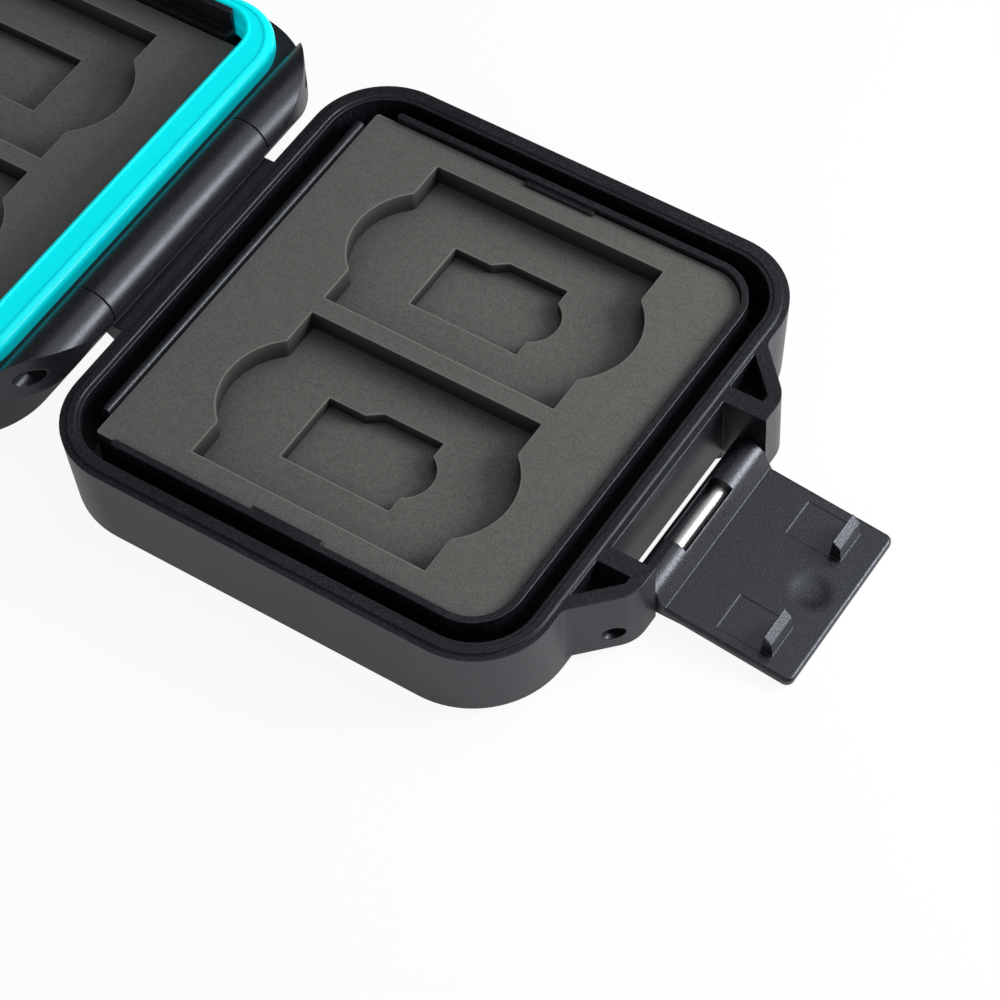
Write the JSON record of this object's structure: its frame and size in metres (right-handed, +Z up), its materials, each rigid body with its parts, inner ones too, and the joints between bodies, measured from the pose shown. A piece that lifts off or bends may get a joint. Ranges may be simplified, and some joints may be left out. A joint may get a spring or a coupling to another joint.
{
  "type": "memory card case",
  "caption": "Hinged pocket case with a latch and a silicone seal ring; layered foam in base and lid has pockets for SD and microSD cards. Lies open flat.",
  "frame": {"origin": "middle of the base's flat underside", "axes": "+X from the hinge towards the latch, +Y along the hinge, +Z up out of the open base"},
  "size_m": [0.1676, 0.0688, 0.0161],
  "materials": {
    "shell_plastic": "black moulded ABS with a fine spark texture",
    "seal_silicone": "satin cyan silicone",
    "pin_steel": "ground bright steel",
    "foam": "dark grey closed-cell EVA foam"
  },
  "bodies": {
    "base": {"base_shell": "shell_plastic", "latch_pin": "pin_steel", "base_foam_backing": "foam", "base_foam_microsd": "foam", "base_foam_sd": "foam"},
    "lid": {"lid_shell": "shell_plastic", "seal_ring": "seal_silicone", "hinge_pin": "pin_steel", "lid_foam_backing": "foam", "lid_foam_microsd": "foam", "lid_foam_sd": "foam"},
    "latch": {"latch": "shell_plastic"}
  },
  "joints": [
    {"name": "lid_hinge", "type": "hinge", "parent": "base", "child": "lid", "pos_m": [-0.03665, 0, 0.013], "axis": [0, 1, 0], "range_deg": [0, 180]},
    {"name": "latch_hinge", "type": "hinge", "parent": "base", "child": "latch", "pos_m": [0.0366, 0, 0.0044], "axis": [0, -1, 0], "range_deg": [0, 97.2]}
  ]
}
